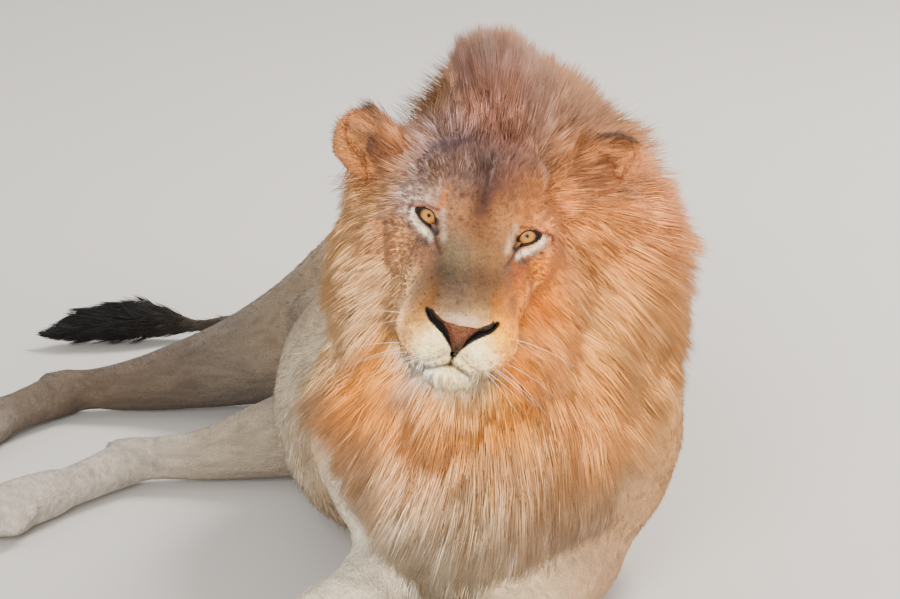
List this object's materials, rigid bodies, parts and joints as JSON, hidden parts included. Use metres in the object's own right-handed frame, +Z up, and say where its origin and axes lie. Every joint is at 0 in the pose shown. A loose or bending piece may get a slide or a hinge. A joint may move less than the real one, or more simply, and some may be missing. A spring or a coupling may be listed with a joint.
{
  "type": "resting lion",
  "caption": "Life-size still model of a young adult male lion resting on its chest, head up and turned to the viewer, hips rolled to one side and hind legs stretched out.",
  "frame": {"origin": "on the floor under the brisket, in the middle of the flat where the chest rests between the elbows", "axes": "+Z is up from the floor, -Y is the way the face looks, +Y runs from the chest to the rump, and +X is the lion's own left side"},
  "size_m": [0.9537, 1.677, 0.6746],
  "materials": {
    "tawny_coat": "short matt fur",
    "pale_coat": "short matt fur, paler",
    "gold_mane": "long soft hair",
    "brown_mane": "long soft hair, darker",
    "black_tuft": "long coarse hair",
    "nose_leather": "bare skin, slightly damp",
    "amber_eye": "clear and wet"
  },
  "bodies": {
    "root": {"eye_left": "amber_eye", "eye_right": "amber_eye", "nose": "nose_leather", "head": "tawny_coat", "jaw": "pale_coat", "ear_left": "tawny_coat", "ear_right": "tawny_coat", "fore_paw_left": "pale_coat", "fore_paw_right": "pale_coat", "forearm_left": "tawny_coat", "forearm_right": "tawny_coat", "hind_foot_left": "pale_coat", "hind_foot_right": "pale_coat", "shank_left": "tawny_coat", "shank_right": "tawny_coat", "tail_tuft": "black_tuft", "tail_end": "tawny_coat", "tail_base": "tawny_coat", "upper_arm_left": "tawny_coat", "upper_arm_right": "tawny_coat", "mane_crown": "brown_mane", "mane_nape": "brown_mane", "mane_bib": "gold_mane", "mane_ruff_left": "gold_mane", "mane_ruff_right": "gold_mane", "chest": "tawny_coat", "thigh_left": "tawny_coat", "belly": "tawny_coat", "thigh_right": "tawny_coat", "rump": "tawny_coat"}
  },
  "joints": []
}
